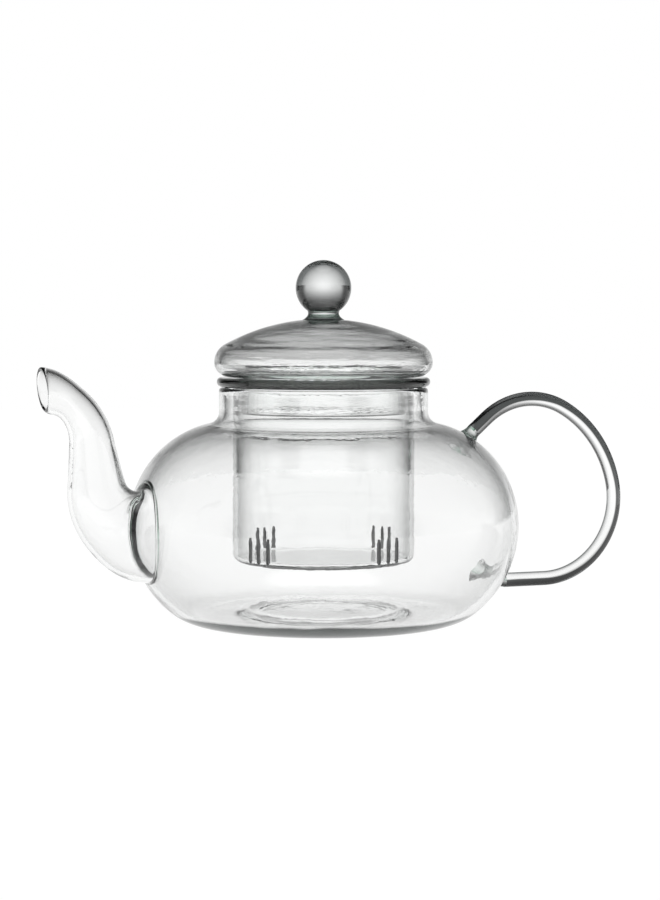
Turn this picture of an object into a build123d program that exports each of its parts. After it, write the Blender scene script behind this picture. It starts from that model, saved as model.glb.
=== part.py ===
"""Glass teapot with a lift-out infuser and a domed lid.

Millimetres, +Z up.  The origin is the centre of the flat foot, on the pot's axis.
The spout points along -X and the handle along +X.
"""

import os
from math import atan2, cos, degrees, radians, sin, sqrt

from build123d import *

os.makedirs("parts", exist_ok=True)

# ---------------------------------------------------------------- driving sizes
# Pot body: a round-bellied blown shell with a straight neck
body_radius = 64.6
widest_height = 32.3
foot_inset = 24.8
heel_radius = 18.0
upper_belly_radius = 34.4
neck_radius = 34.6
neck_fillet = 4.0
neck_length = 8.03
pot_wall = 2.4
rim_rounding = 1.1

# Spout: a tapering bent tube on the belly
spout_root_drop = 0.6
spout_root_radius = 16.3
spout_bend_mid_radius = 12.3
spout_knee_radius = 9.4
spout_throat_radius = 7.2
spout_waist_radius = 5.9
spout_mouth_radius = 7.3
spout_wall = 1.3
spout_bend_radius, spout_bend_angle = 17.0, 84.0
spout_rise = 14.3
spout_crook_radius, spout_crook_angle = 19.5, 72.0
spout_mouth_lean = -6.0
spout_root_sink = 3.7
spout_stub_start = 11.0
spout_seam_width = 1.0
spout_seam_bulge = 0.5

# Handle: a solid rod bent to an ear
rod_radius = 2.45
upper_pad_angle = 51.0
upper_pad_length = 4.2
upper_pad_radius = 5.0
handle_heading = 41.5
handle_start_length = 6.1
handle_top_radius, handle_top_angle = 25.5, 70.5
handle_side_radius, handle_side_angle = 39.3, 48.5
handle_bottom_radius = 27.0
pad_waist_share = 0.75
pad_sink = 1.0
lower_pad_rise = 1.9
lower_pad_length = 7.2
lower_pad_tilt = -18.0
lower_pad_radius = 4.7

# Infuser: a standard tube with a closed bottom, sawn slits and a hanging flange
infuser_clearance = 2.2
infuser_wall = 1.5
infuser_floor_gap = 17.6
infuser_corner_radius = 2.6
flange_overhang = 0.7
flange_thickness = 3.0
flange_rounding = 1.4
slit_groups = 4
slits_per_group = 3
slit_step_angle = 8.0
slit_turn = 24.0
slit_width = 0.9
slit_height = 8.4
slit_above_bottom = 1.2

# Lid: a blown dome on a short collar, with a ball knob
lid_overhang = 0.8
crown_radius = 67.6
shoulder_radius = 6.9
tuck_radius = 4.6
lid_wall = 2.0
collar_clearance = 1.2
collar_wall = 1.5
collar_depth = 12.2
ball_radius = 9.2
stem_radius = 5.3
stem_height = 2.6
stem_foot_flare = 1.2

# Fit: the clearance left where one loose piece rests on another
seat_gap = 0.3

# ---------------------------------------------------------------- worked-out places
# Pot: the heel arc runs tangent into the foot and into the lower belly arc
foot_radius = body_radius - foot_inset
belly_over_heel = widest_height - heel_radius
lower_belly_radius = (foot_inset**2 + belly_over_heel**2 - heel_radius**2) / (
    2 * (foot_inset - heel_radius)
)
lower_centre_x = body_radius - lower_belly_radius
upper_centre_x = body_radius - upper_belly_radius

# The neck's fillet runs tangent into the upper belly arc and the straight neck
fillet_x = neck_radius + neck_fillet
fillet_z = widest_height + sqrt(
    (upper_belly_radius + neck_fillet) ** 2 - (fillet_x - upper_centre_x) ** 2
)
rim_height = fillet_z + neck_length

# Where the shell's arcs meet, as angles on their circles, and the heights of those places
heel_turn = degrees(atan2(-belly_over_heel, foot_radius - lower_centre_x))
neck_turn = degrees(atan2(fillet_z - widest_height, fillet_x - upper_centre_x))
heel_top = heel_radius * (1 + sin(radians(heel_turn)))
flare_low = fillet_z - neck_fillet * sin(radians(neck_turn))

# What hangs in the neck
infuser_radius = neck_radius - pot_wall - infuser_clearance
infuser_bottom_height = pot_wall + infuser_floor_gap
flange_height = rim_height + seat_gap
flange_radius = neck_radius + flange_overhang
slit_cut_depth = 4 * infuser_wall
slit_floor = infuser_bottom_height + slit_above_bottom

# What lies on the flange
lid_height = flange_height + flange_thickness + seat_gap
lid_radius = flange_radius + lid_overhang
collar_radius = infuser_radius - infuser_wall - collar_clearance
collar_bore = collar_radius - collar_wall


# ---------------------------------------------------------------- pot body
def shell_solid(grow):
    """The pot's outer skin as a filled solid, grown outwards by an amount."""
    with BuildPart() as solid:
        with BuildSketch(Plane.XZ):
            with BuildLine():
                foot = Line((0, -grow), (foot_radius, -grow))
                CenterArc((foot_radius, heel_radius), heel_radius + grow, -90, heel_turn + 90)
                CenterArc(
                    (lower_centre_x, widest_height),
                    lower_belly_radius + grow,
                    heel_turn,
                    -heel_turn,
                )
                CenterArc((upper_centre_x, widest_height), upper_belly_radius + grow, 0, neck_turn)
                CenterArc((fillet_x, fillet_z), neck_fillet - grow, 180, neck_turn)
                neck = Line((neck_radius + grow, fillet_z), (neck_radius + grow, rim_height))
                rim = Line(neck @ 1, (0, rim_height))
                Line(rim @ 1, foot @ 0)
            make_face()
        revolve(axis=Axis.Z)
    return solid.part


body_skin = shell_solid(0)

# ---------------------------------------------------------------- spout path
spout_plane = Plane(origin=(0, 0, 0), x_dir=(-1, 0, 0), z_dir=(0, 1, 0))
with BuildLine(spout_plane):
    root_height = widest_height - spout_root_drop
    stub = Line(
        (body_radius - spout_stub_start, root_height),
        (body_radius - spout_root_sink, root_height),
    )
    bend = JernArc(stub @ 1, stub % 1, spout_bend_radius, spout_bend_angle)
    rise = Line(bend @ 1, bend @ 1 + spout_rise * (bend % 1))
    crook = JernArc(rise @ 1, rise % 1, spout_crook_radius, -spout_crook_angle)


def spout_tube(grow):
    """The spout as a solid loft from inside the belly to the mouth, grown by an amount."""
    stations = [
        (stub, 0.0, spout_root_radius),
        (bend, 0.0, spout_root_radius),
        (bend, 0.5, spout_bend_mid_radius),
        (bend, 1.0, spout_knee_radius),
        (rise, 1.0, spout_throat_radius),
        (crook, 0.6, spout_waist_radius),
    ]
    with BuildPart() as tube:
        for line, at, radius in stations:
            with BuildSketch(Plane(origin=line @ at, x_dir=(0, 1, 0), z_dir=line % at)):
                Circle(radius + grow)
        lean = radians(spout_mouth_lean)
        mouth_axis = (-cos(lean), 0, sin(lean))
        with BuildSketch(Plane(origin=crook @ 1, x_dir=(0, 1, 0), z_dir=mouth_axis)):
            Circle(spout_mouth_radius + grow)
        loft()
    return tube.part


spout_bore = spout_tube(-spout_wall)

with BuildPart() as pot_shell:
    add(body_skin)
    add(shell_solid(-pot_wall), mode=Mode.SUBTRACT)
    fillet(edges().group_by(Axis.Z)[-1], rim_rounding)
    add(spout_bore, mode=Mode.SUBTRACT)

# The blown shell is one piece of glass.  It is stored as four level rings, parted where its
# arcs meet, so that each ring's collision pieces can follow the wall.
with BuildPart() as pot_base:
    add(pot_shell.part)
    split(bisect_by=Plane.XY.offset(heel_top), keep=Keep.BOTTOM)
pot_base.part.label = "pot_base"

with BuildPart() as pot_lower_belly:
    add(pot_shell.part)
    split(bisect_by=Plane.XY.offset(heel_top), keep=Keep.TOP)
    split(bisect_by=Plane.XY.offset(widest_height), keep=Keep.BOTTOM)
pot_lower_belly.part.label = "pot_lower_belly"

with BuildPart() as pot_upper_belly:
    add(pot_shell.part)
    split(bisect_by=Plane.XY.offset(widest_height), keep=Keep.TOP)
    split(bisect_by=Plane.XY.offset(flare_low), keep=Keep.BOTTOM)
pot_upper_belly.part.label = "pot_upper_belly"

with BuildPart() as pot_neck:
    add(pot_shell.part)
    split(bisect_by=Plane.XY.offset(flare_low), keep=Keep.TOP)
pot_neck.part.label = "pot_neck"

# ---------------------------------------------------------------- spout and its seam
seam_skin = shell_solid(spout_seam_width)

with BuildPart() as spout:
    add(spout_tube(0))
    add(seam_skin, mode=Mode.SUBTRACT)
    add(spout_bore, mode=Mode.SUBTRACT)
spout.part.label = "spout"

with BuildPart() as spout_seam:
    add(spout_tube(spout_seam_bulge))
    add(seam_skin, mode=Mode.INTERSECT)
    add(body_skin, mode=Mode.SUBTRACT)
    add(spout_bore, mode=Mode.SUBTRACT)
spout_seam.part.label = "spout_seam"


# ---------------------------------------------------------------- handle and its pads
def level_vector(angle):
    """The unit vector at an angle above level, in the handle's plane."""
    return Vector(cos(radians(angle)), 0, sin(radians(angle)))


def lower_belly_point(height):
    """The point of the lower belly's skin at a height, in the handle's plane."""
    reach = sqrt(lower_belly_radius**2 - (height - widest_height) ** 2)
    return Vector(lower_centre_x + reach, 0, height)


upper_centre = Vector(upper_centre_x, 0, widest_height)
upper_pad_foot = upper_centre + upper_belly_radius * level_vector(upper_pad_angle)
handle_start = upper_pad_foot + upper_pad_length * level_vector(upper_pad_angle)
handle_way = level_vector(handle_heading)
handle_bottom_angle = 180 + handle_heading - handle_top_angle - handle_side_angle

with BuildPart() as handle:
    with BuildLine(Plane.XZ) as handle_path:
        start = Line(handle_start, handle_start + handle_way * handle_start_length)
        top = JernArc(start @ 1, start % 1, handle_top_radius, -handle_top_angle)
        side = JernArc(top @ 1, top % 1, handle_side_radius, -handle_side_angle)
        low = JernArc(side @ 1, side % 1, handle_bottom_radius, -handle_bottom_angle)
        rod_height = (low @ 1).Z
        lower_pad_foot = lower_belly_point(rod_height + lower_pad_rise)
        end = Line(low @ 1, Vector(lower_pad_foot.X + lower_pad_length, 0, rod_height))
    with BuildSketch(Plane(origin=start @ 0, x_dir=(0, 1, 0), z_dir=start % 0)):
        Circle(rod_radius)
    sweep(path=handle_path.wires()[0])
handle.part.label = "handle"


def melted_pad(rod_end, rod_way, foot, foot_way, foot_radius):
    """A pad of melted glass that widens from the rod's end to the body's skin."""
    sunk_foot = foot - foot_way * pad_sink
    middle = (rod_end + foot) * 0.5
    middle_way = rod_way + foot_way
    waist_radius = rod_radius * pad_waist_share + foot_radius * (1 - pad_waist_share)
    stations = [
        (rod_end, rod_way, rod_radius),
        (middle, middle_way, waist_radius),
        (sunk_foot, foot_way, foot_radius),
    ]
    with BuildPart() as pad:
        for centre, way, radius in stations:
            with BuildSketch(Plane(origin=centre, x_dir=(0, 1, 0), z_dir=way)):
                Circle(radius)
        loft()
        add(body_skin, mode=Mode.SUBTRACT)
    return pad.part


with BuildPart() as handle_upper_pad:
    add(
        melted_pad(
            start @ 0,
            start % 0,
            upper_pad_foot,
            level_vector(upper_pad_angle),
            upper_pad_radius,
        )
    )
handle_upper_pad.part.label = "handle_upper_pad"

with BuildPart() as handle_lower_pad:
    add(
        melted_pad(
            end @ 1,
            Vector(1, 0, 0),
            lower_pad_foot,
            level_vector(lower_pad_tilt),
            lower_pad_radius,
        )
    )
handle_lower_pad.part.label = "handle_lower_pad"

# ---------------------------------------------------------------- infuser
with BuildPart() as infuser_tube:
    with BuildSketch(Plane.XY.offset(infuser_bottom_height)):
        Circle(infuser_radius)
    extrude(amount=flange_height - infuser_bottom_height)
    fillet(edges().group_by(Axis.Z)[0], infuser_corner_radius)
    offset(
        amount=-infuser_wall,
        openings=faces().sort_by(Axis.Z)[-1],
    )
    for step in range(slits_per_group):
        turn = slit_turn + (step - (slits_per_group - 1) / 2) * slit_step_angle
        with BuildSketch(Plane.XY.offset(slit_floor)):
            with PolarLocations(infuser_radius, slit_groups, start_angle=turn):
                Rectangle(slit_cut_depth, slit_width)
        extrude(amount=slit_height, mode=Mode.SUBTRACT)
infuser_tube.part.label = "infuser_tube"

with BuildPart() as infuser_flange:
    with BuildSketch(Plane.XY.offset(flange_height)):
        Circle(flange_radius)
        Circle(infuser_radius - infuser_wall, mode=Mode.SUBTRACT)
    extrude(amount=flange_thickness)
    fillet(edges().filter_by(GeomType.CIRCLE).sort_by(SortBy.RADIUS)[-2:], flange_rounding)
infuser_flange.part.label = "infuser_flange"


# ---------------------------------------------------------------- lid
def dome_solid(inset):
    """The lid's dome as a filled solid, drawn in by an amount all round."""
    rim_z = lid_height + tuck_radius
    shoulder_x = lid_radius - shoulder_radius
    tuck_x = lid_radius - tuck_radius
    crown_z = rim_z - sqrt((crown_radius - shoulder_radius) ** 2 - shoulder_x**2)
    shoulder_turn = degrees(atan2(rim_z - crown_z, shoulder_x))
    with BuildPart() as solid:
        with BuildSketch(Plane.XZ):
            with BuildLine():
                seat = Line((0, lid_height + inset), (tuck_x, lid_height + inset))
                CenterArc((tuck_x, rim_z), tuck_radius - inset, -90, 90)
                CenterArc((shoulder_x, rim_z), shoulder_radius - inset, 0, shoulder_turn)
                crown = CenterArc(
                    (0, crown_z), crown_radius - inset, shoulder_turn, 90 - shoulder_turn
                )
                Line(crown @ 1, seat @ 0)
            make_face()
        revolve(axis=Axis.Z)
    return solid.part


dome_skin = dome_solid(0)
dome_top = dome_skin.bounding_box().max.Z
ball_cut = dome_top + stem_height
ball_height = ball_cut + sqrt(ball_radius**2 - stem_radius**2)

with BuildPart() as lid_dome:
    add(dome_skin)
    add(dome_solid(lid_wall), mode=Mode.SUBTRACT)
    with BuildSketch(Plane.XY.offset(lid_height)):
        Circle(collar_bore)
    extrude(amount=tuck_radius, mode=Mode.SUBTRACT)
lid_dome.part.label = "lid_dome"

with BuildPart() as lid_collar:
    with BuildSketch(Plane.XY.offset(lid_height - collar_depth)):
        Circle(collar_radius)
        Circle(collar_bore, mode=Mode.SUBTRACT)
    extrude(amount=collar_depth)
lid_collar.part.label = "lid_collar"

with BuildPart() as knob_stem:
    with BuildSketch(Plane.XY.offset(dome_top - stem_foot_flare)):
        Circle(stem_radius)
    extrude(amount=ball_cut - dome_top + stem_foot_flare)
    with BuildSketch(Plane.XZ):
        with BuildLine():
            flare = RadiusArc(
                (stem_radius + stem_foot_flare, dome_top - stem_foot_flare),
                (stem_radius, dome_top + stem_foot_flare),
                stem_foot_flare * 2,
            )
            Polyline(
                flare @ 1,
                (0, dome_top + stem_foot_flare),
                (0, dome_top - stem_foot_flare),
                flare @ 0,
            )
        make_face()
    revolve(axis=Axis.Z)
    add(dome_skin, mode=Mode.SUBTRACT)
knob_stem.part.label = "knob_stem"

with BuildPart() as knob_ball:
    with Locations((0, 0, ball_height)):
        Sphere(ball_radius)
    split(bisect_by=Plane.XY.offset(ball_cut), keep=Keep.TOP)
knob_ball.part.label = "knob_ball"

# ---------------------------------------------------------------- export
for piece in (
    pot_base,
    pot_lower_belly,
    pot_upper_belly,
    pot_neck,
    spout,
    spout_seam,
    handle,
    handle_upper_pad,
    handle_lower_pad,
    infuser_tube,
    infuser_flange,
    lid_dome,
    lid_collar,
    knob_stem,
    knob_ball,
):
    export_step(piece.part, f"parts/{piece.part.label}.step")
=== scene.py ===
"""Looks of a blown-glass teapot with a lift-out infuser and a domed lid.

Every glass piece is worked out here as a closed surface in metres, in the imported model's
frame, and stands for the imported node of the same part.  Faces where two pieces are melted
together wear a second, see-through slot, so light passes there as in one lump of glass.
"""

import logging
import math
from dataclasses import dataclass
from enum import Enum

import bpy
import numpy as np
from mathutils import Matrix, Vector


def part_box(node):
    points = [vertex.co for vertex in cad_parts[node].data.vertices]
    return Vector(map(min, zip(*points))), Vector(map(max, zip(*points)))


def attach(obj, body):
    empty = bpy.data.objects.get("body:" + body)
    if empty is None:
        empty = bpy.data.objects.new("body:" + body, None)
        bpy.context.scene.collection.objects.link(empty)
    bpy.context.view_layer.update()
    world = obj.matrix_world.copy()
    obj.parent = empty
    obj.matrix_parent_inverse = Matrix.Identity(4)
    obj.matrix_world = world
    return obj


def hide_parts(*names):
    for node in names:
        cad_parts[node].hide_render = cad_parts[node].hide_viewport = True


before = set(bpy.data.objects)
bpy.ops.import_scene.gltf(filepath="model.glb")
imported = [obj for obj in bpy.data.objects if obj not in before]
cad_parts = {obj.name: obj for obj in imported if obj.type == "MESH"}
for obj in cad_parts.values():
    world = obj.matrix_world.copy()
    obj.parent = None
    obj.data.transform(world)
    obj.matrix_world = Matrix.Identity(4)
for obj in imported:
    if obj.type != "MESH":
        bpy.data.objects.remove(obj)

MM = 0.001
MIRROR = np.array([-1.0, 1.0, 1.0])
OUTER_SIDE = "outer_side"
log = logging.getLogger("teapot")


# ------------------------------------------------------------------ shader arithmetic
class Tree:
    """A node tree with one way of adding nodes."""

    def __init__(self, tree: bpy.types.NodeTree) -> None:
        """Empties the tree and keeps it."""
        self.tree = tree
        tree.nodes.clear()

    def node(self, kind: str, settings: dict | None = None, **inputs) -> bpy.types.Node:
        """Adds a node.

        Args:
            kind: the node's type.
            settings: the node's own choices, set first.
            inputs: a socket's name, with _ for a space, and its value, wrapped number or socket.

        Returns:
            The new node.
        """
        made = self.tree.nodes.new(kind)
        for key, value in (settings or {}).items():
            setattr(made, key, value)
        for key, value in inputs.items():
            self.feed(made.inputs[key.replace("_", " ")], value)
        return made

    def feed(self, socket: bpy.types.NodeSocket, value: object) -> None:
        """Links a wrapped number or a socket into a socket, or sets its plain value."""
        if isinstance(value, Num):
            value = value.socket
        if isinstance(value, bpy.types.NodeSocket):
            self.tree.links.new(value, socket)
        else:
            socket.default_value = value

    def math(self, operation: str, *values: object) -> "Num":
        """Adds a Math node on up to three numbers and returns its result."""
        made = self.node("ShaderNodeMath", {"operation": operation})
        for socket, value in zip(made.inputs, values):
            self.feed(socket, value)
        return Num(self, made.outputs[0])

    def vector_math(self, operation: str, *values: object) -> bpy.types.NodeSocket:
        """Adds a Vector Math node and returns its vector."""
        made = self.node("ShaderNodeVectorMath", {"operation": operation})
        for socket, value in zip(made.inputs, values):
            self.feed(socket, value)
        return made.outputs[0]

    def parts(self, vector: bpy.types.NodeSocket) -> tuple["Num", "Num", "Num"]:
        """Splits a vector into its three numbers."""
        made = self.node("ShaderNodeSeparateXYZ", Vector=vector)
        return tuple(Num(self, made.outputs[axis]) for axis in "XYZ")

    def smooth_step(self, value: "Num", low: float, high: float) -> "Num":
        """Returns 0 below low, 1 above high and a smooth rise between them."""
        made = self.node(
            "ShaderNodeMapRange",
            {"interpolation_type": "SMOOTHSTEP"},
            Value=value,
            From_Min=low,
            From_Max=high,
        )
        return Num(self, made.outputs["Result"])

    def blend_colours(self, share: object, first: object, second: object) -> bpy.types.NodeSocket:
        """Mixes two colours by a share from 0 to 1."""
        made = self.node("ShaderNodeMix", {"data_type": "RGBA"})
        self.feed(made.inputs["Factor"], share)
        self.feed(made.inputs[6], first)
        self.feed(made.inputs[7], second)
        return made.outputs[2]

    def noise(self, vector: object, scale: float, detail: float = 2.0) -> "Num":
        """Adds a noise texture and returns its number, from 0 to 1."""
        made = self.node("ShaderNodeTexNoise", Vector=vector, Scale=scale, Detail=detail)
        return Num(self, made.outputs[0])


@dataclass
class Num:
    """A number socket that takes part in Python expressions."""

    tree: Tree
    socket: bpy.types.NodeSocket

    def __add__(self, other: object) -> "Num":
        """Sum."""
        return self.tree.math("ADD", self, other)

    def __sub__(self, other: object) -> "Num":
        """Difference."""
        return self.tree.math("SUBTRACT", self, other)

    def __mul__(self, other: object) -> "Num":
        """Product."""
        return self.tree.math("MULTIPLY", self, other)

    def __truediv__(self, other: object) -> "Num":
        """Quotient."""
        return self.tree.math("DIVIDE", self, other)

    def __pow__(self, other: object) -> "Num":
        """Power."""
        return self.tree.math("POWER", self, other)

    def __rsub__(self, other: object) -> "Num":
        """Difference, with the plain number first."""
        return self.tree.math("SUBTRACT", other, self)

    def __rtruediv__(self, other: object) -> "Num":
        """Quotient, with the plain number first."""
        return self.tree.math("DIVIDE", other, self)

    __radd__ = __add__
    __rmul__ = __mul__


def new_material(name: str) -> tuple[bpy.types.Material, Tree]:
    """Starts an empty material and gives it with its node tree."""
    made = bpy.data.materials.new(name)
    made.use_nodes = True
    return made, Tree(made.node_tree)


# ------------------------------------------------------------------ finishes
class Face(Enum):
    """What a face of a glass piece is, and its material slot."""

    SKIN = 0
    JOINT = 1
    SAWN = 2


class Working(Enum):
    """How a glass piece was made, which decides the ripple in its skin."""

    BLOWN = "blown"
    TURNED = "turned"
    DRAWN = "drawn"


@dataclass(frozen=True)
class PaintedShadeBand:
    """A ring of a piece painted darker: painted shade where a thick heel or a rounded rim shows dark.

    It lies farther from the pot's axis than radius and lower than height, both in metres,
    and with underneath it takes only skin that looks downwards.
    """

    radius: float
    height: float
    # the painted shade's colour
    shade_colour: tuple[float, float, float]
    soft: float = 0.0006
    underneath: bool = False


@dataclass(frozen=True)
class GlassFinish:
    """Clear borosilicate glass with the ripple of its working and a faint green-grey body.

    The skin passes from clear_tint to a dark colour where it is seen edge on: painted shade for the
    dark room seen through the glass's edges.  With clear_floor level faces get no painted edge shade.
    A ring and a bent rod's outer side can have painted shade of their own.
    """

    name: str
    working: Working
    ripple_size: float = 0.016
    ripple_depth: float = 0.00010
    fine_scale: float = 5.0
    fine_share: float = 0.12
    # painted shade: the colour the skin darkens to where it is seen edge on
    painted_edge_shade: tuple[float, float, float] = (0.07, 0.09, 0.08)
    edge_from: float = 0.28
    edge_to: float = 1.0
    edge_power: float = 3.0
    edge_wander: float = 0.06
    clear_floor: bool = False
    level_from: float = 0.93
    level_to: float = 0.99
    # a ring of painted shade
    shade_band: PaintedShadeBand | None = None
    # painted shade on a bent rod's outer side
    painted_outer_shade: tuple[float, float, float] | None = None
    outer_from: float = -0.30
    outer_to: float = -0.08
    outer_wander: float = 0.2
    clear_tint: tuple[float, float, float] = (0.998, 1.0, 0.999)
    body_tint: tuple[float, float, float] = (0.50, 0.66, 0.58)
    body_density: float = 3.0
    ior: float = 1.47

    def material(self) -> bpy.types.Material:
        """Builds the glass's skin.

        Returns:
            A material whose surface ripples softly and whose colour darkens where the wall is
            seen edge on, painted shade for the dark room seen through the glass's edges.
        """
        made, tree = new_material(self.name)
        place = tree.node("ShaderNodeTexCoord").outputs["Object"]
        stretched = tree.vector_math("MULTIPLY", place, self.stretch())
        ripple = tree.noise(stretched, 1.0 / self.ripple_size, 1.5)
        fine = tree.noise(stretched, self.fine_scale / self.ripple_size, 2.0)
        height = ripple + fine * self.fine_share
        bump = tree.node("ShaderNodeBump", Strength=1.0, Distance=self.ripple_depth, Height=height)
        # Painted edge shade: the skin's colour darkens by how edge on it is seen.
        facing = Num(tree, tree.node("ShaderNodeLayerWeight", Blend=0.5).outputs["Facing"])
        wander = (ripple - 0.5) * self.edge_wander
        rise = (facing + wander - self.edge_from) / (self.edge_to - self.edge_from)
        edge = tree.math("MINIMUM", tree.math("MAXIMUM", rise, 0.0), 1.0) ** self.edge_power
        if self.clear_floor:
            upward = tree.parts(tree.node("ShaderNodeNewGeometry").outputs["Normal"])[2]
            level = tree.math("ABSOLUTE", upward)
            edge = edge * (1.0 - tree.smooth_step(level, self.level_from, self.level_to))
        colour = tree.blend_colours(edge, (*self.clear_tint, 1.0), (*self.painted_edge_shade, 1.0))
        # Painted shade in a ring, such as the pot's heel.
        if self.shade_band:
            share = self.shade_band_share(tree, place, ripple)
            colour = tree.blend_colours(share, colour, (*self.shade_band.shade_colour, 1.0))
        # Painted shade on a bent rod's outer side.
        if self.painted_outer_shade:
            share = self.outer_shade_share(tree, ripple)
            colour = tree.blend_colours(share, colour, (*self.painted_outer_shade, 1.0))
        skin = tree.node(
            "ShaderNodeBsdfPrincipled",
            Base_Color=colour,
            Roughness=0.0,
            IOR=self.ior,
            Transmission_Weight=1.0,
            Normal=bump.outputs[0],
        )
        self.close(tree, skin)
        return made

    def shade_band_share(self, tree: Tree, place: bpy.types.NodeSocket, ripple: Num) -> Num:
        """Returns the share of painted shade: 1 where light enters the band's outside, with an edge that
        wanders softly.
        """
        x, y, z = tree.parts(place)
        reach = tree.math("SQRT", x * x + y * y)
        wander = (ripple - 0.5) * self.shade_band.height * 0.5
        low = 1.0 - tree.smooth_step(
            z + wander, self.shade_band.height - self.shade_band.soft, self.shade_band.height + self.shade_band.soft
        )
        far = tree.smooth_step(reach, self.shade_band.radius, self.shade_band.radius + self.shade_band.soft)
        surface = tree.node("ShaderNodeNewGeometry")
        enters = 1.0 - Num(tree, surface.outputs["Backfacing"])
        if self.shade_band.underneath:
            upward = tree.parts(surface.outputs["Normal"])[2]
            enters = enters * (1.0 - tree.smooth_step(upward, -0.12, 0.0))
        return low * far * enters

    def outer_shade_share(self, tree: Tree, ripple: Num) -> Num:
        """Returns the share of painted shade: 1 where light enters the outer side of a bent rod, 0
        elsewhere.
        """
        side = tree.node("ShaderNodeAttribute", {"attribute_name": OUTER_SIDE}).outputs["Fac"]
        leaves = tree.node("ShaderNodeNewGeometry").outputs["Backfacing"]
        wander = (ripple - 0.5) * self.outer_wander
        outer = tree.smooth_step(Num(tree, side) + wander, self.outer_from, self.outer_to)
        return outer * (1.0 - Num(tree, leaves))

    def stretch(self) -> tuple[float, float, float]:
        """Returns how far the ripple is drawn out along each axis."""
        return {
            Working.BLOWN: (0.8, 0.8, 1.1),
            Working.TURNED: (0.35, 0.35, 3.0),
            Working.DRAWN: (1.6, 1.6, 0.25),
        }[self.working]

    def close(self, tree: Tree, surface: bpy.types.Node) -> None:
        """Joins a surface and the glass's faint body colour to the output."""
        body = tree.node(
            "ShaderNodeVolumeAbsorption",
            Color=(*self.body_tint, 1.0),
            Density=self.body_density,
        )
        out = tree.node("ShaderNodeOutputMaterial")
        tree.feed(out.inputs["Surface"], surface.outputs[0])
        tree.feed(out.inputs["Volume"], body.outputs[0])

    def sawn(self) -> bpy.types.Material:
        """Builds the grey, ground face that a saw leaves, with its fine scratches."""
        made, tree = new_material(f"{self.name}_sawn")
        place = tree.node("ShaderNodeTexCoord").outputs["Object"]
        scratches = tree.noise(tree.vector_math("MULTIPLY", place, (1.0, 1.0, 0.15)), 6000.0, 3.0)
        colour = tree.blend_colours(scratches, (0.05, 0.055, 0.055, 1), (0.16, 0.17, 0.17, 1))
        skin = tree.node("ShaderNodeBsdfPrincipled", Base_Color=colour, Roughness=0.55, IOR=self.ior)
        self.close(tree, skin)
        return made

    def joint(self) -> bpy.types.Material:
        """Builds the see-through face between two pieces that are melted together."""
        made, tree = new_material(f"{self.name}_melted_joint")
        self.close(tree, tree.node("ShaderNodeBsdfTransparent"))
        return made


# Each finish's edge colour below is painted shade, darker where the skin is seen edge on; on the ball it
# paints the dark rim.
BLOWN = GlassFinish(
    "blown_glass",
    Working.BLOWN,
    ripple_depth=0.00016,
    painted_edge_shade=(0.05, 0.065, 0.06),
    clear_floor=True,
    # painted shade: a near-black ring on the heel's downward-looking skin
    shade_band=PaintedShadeBand(0.0405, 0.0046, (0.006, 0.0075, 0.007), underneath=True),
)
GOB = GlassFinish(
    "melted_gob_glass",
    Working.BLOWN,
    ripple_size=0.004,
    ripple_depth=0.00012,
    painted_edge_shade=(0.03, 0.04, 0.035),
    clear_tint=(0.9, 0.92, 0.91),
    edge_from=0.0,
    edge_to=0.35,
    edge_power=0.9,
)
FLANGE = GlassFinish(
    "flange_glass",
    Working.TURNED,
    ripple_size=0.02,
    ripple_depth=0.00004,
    painted_edge_shade=(0.05, 0.06, 0.056),
    clear_tint=(0.9, 0.92, 0.91),
    edge_from=0.05,
    edge_to=0.6,
    edge_power=1.0,
    # painted shade: a dark ring over the flange's rounded outer rim
    shade_band=PaintedShadeBand(0.0340, 1.0, (0.012, 0.013, 0.012)),
)
ROD = GlassFinish(
    "drawn_rod_glass",
    Working.DRAWN,
    ripple_size=0.02,
    ripple_depth=0.00004,
    painted_edge_shade=(0.05, 0.056, 0.055),
    edge_from=0.12,
    edge_to=0.6,
    edge_power=1.1,
    # painted shade: the handle rod's outer side dark
    painted_outer_shade=(0.008, 0.009, 0.009),
)
BALL = GlassFinish(
    "ball_glass",
    Working.BLOWN,
    ripple_size=0.02,
    ripple_depth=0.00003,
    painted_edge_shade=(0.07, 0.075, 0.075),
    clear_tint=(0.985, 0.99, 0.99),
    edge_from=0.0,
    edge_to=0.42,
    edge_power=0.75,
)
TUBE = GlassFinish(
    "tube_glass",
    Working.TURNED,
    ripple_size=0.018,
    ripple_depth=0.00006,
    painted_edge_shade=(0.01, 0.014, 0.013),
    edge_from=0.30,
    edge_to=0.95,
    edge_power=1.3,
    clear_floor=True,
)
DOME = GlassFinish(
    "lid_glass",
    Working.TURNED,
    ripple_size=0.010,
    ripple_depth=0.00030,
    painted_edge_shade=(0.06, 0.075, 0.07),
    edge_from=0.12,
    edge_power=2.0,
)


# ------------------------------------------------------------------ curves and grids
def arc(centre: tuple[float, float], radius: float, start: float, end: float, count: int) -> np.ndarray:
    """Points on a circle's arc.

    Args:
        centre: the circle's centre.
        radius: its radius.
        start: the first point's angle, in degrees.
        end: the last point's angle.
        count: how many points.

    Returns:
        (count, 2): centre + radius * (cos, sin) of evenly spaced angles.
    """
    angle = np.radians(np.linspace(start, end, count))
    return np.column_stack([centre[0] + radius * np.cos(angle), centre[1] + radius * np.sin(angle)])


def line(start: tuple[float, float], end: tuple[float, float], count: int) -> np.ndarray:
    """Points evenly spaced on a straight run, both ends among them."""
    return np.linspace(start, end, count)


def chain(*runs: np.ndarray) -> np.ndarray:
    """Runs of points one after the other, with each doubled end point kept once."""
    points = np.vstack(runs)
    step = np.linalg.norm(np.diff(points, axis=0), axis=1)
    return points[np.concatenate([[True], step > 1e-6])]


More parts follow.
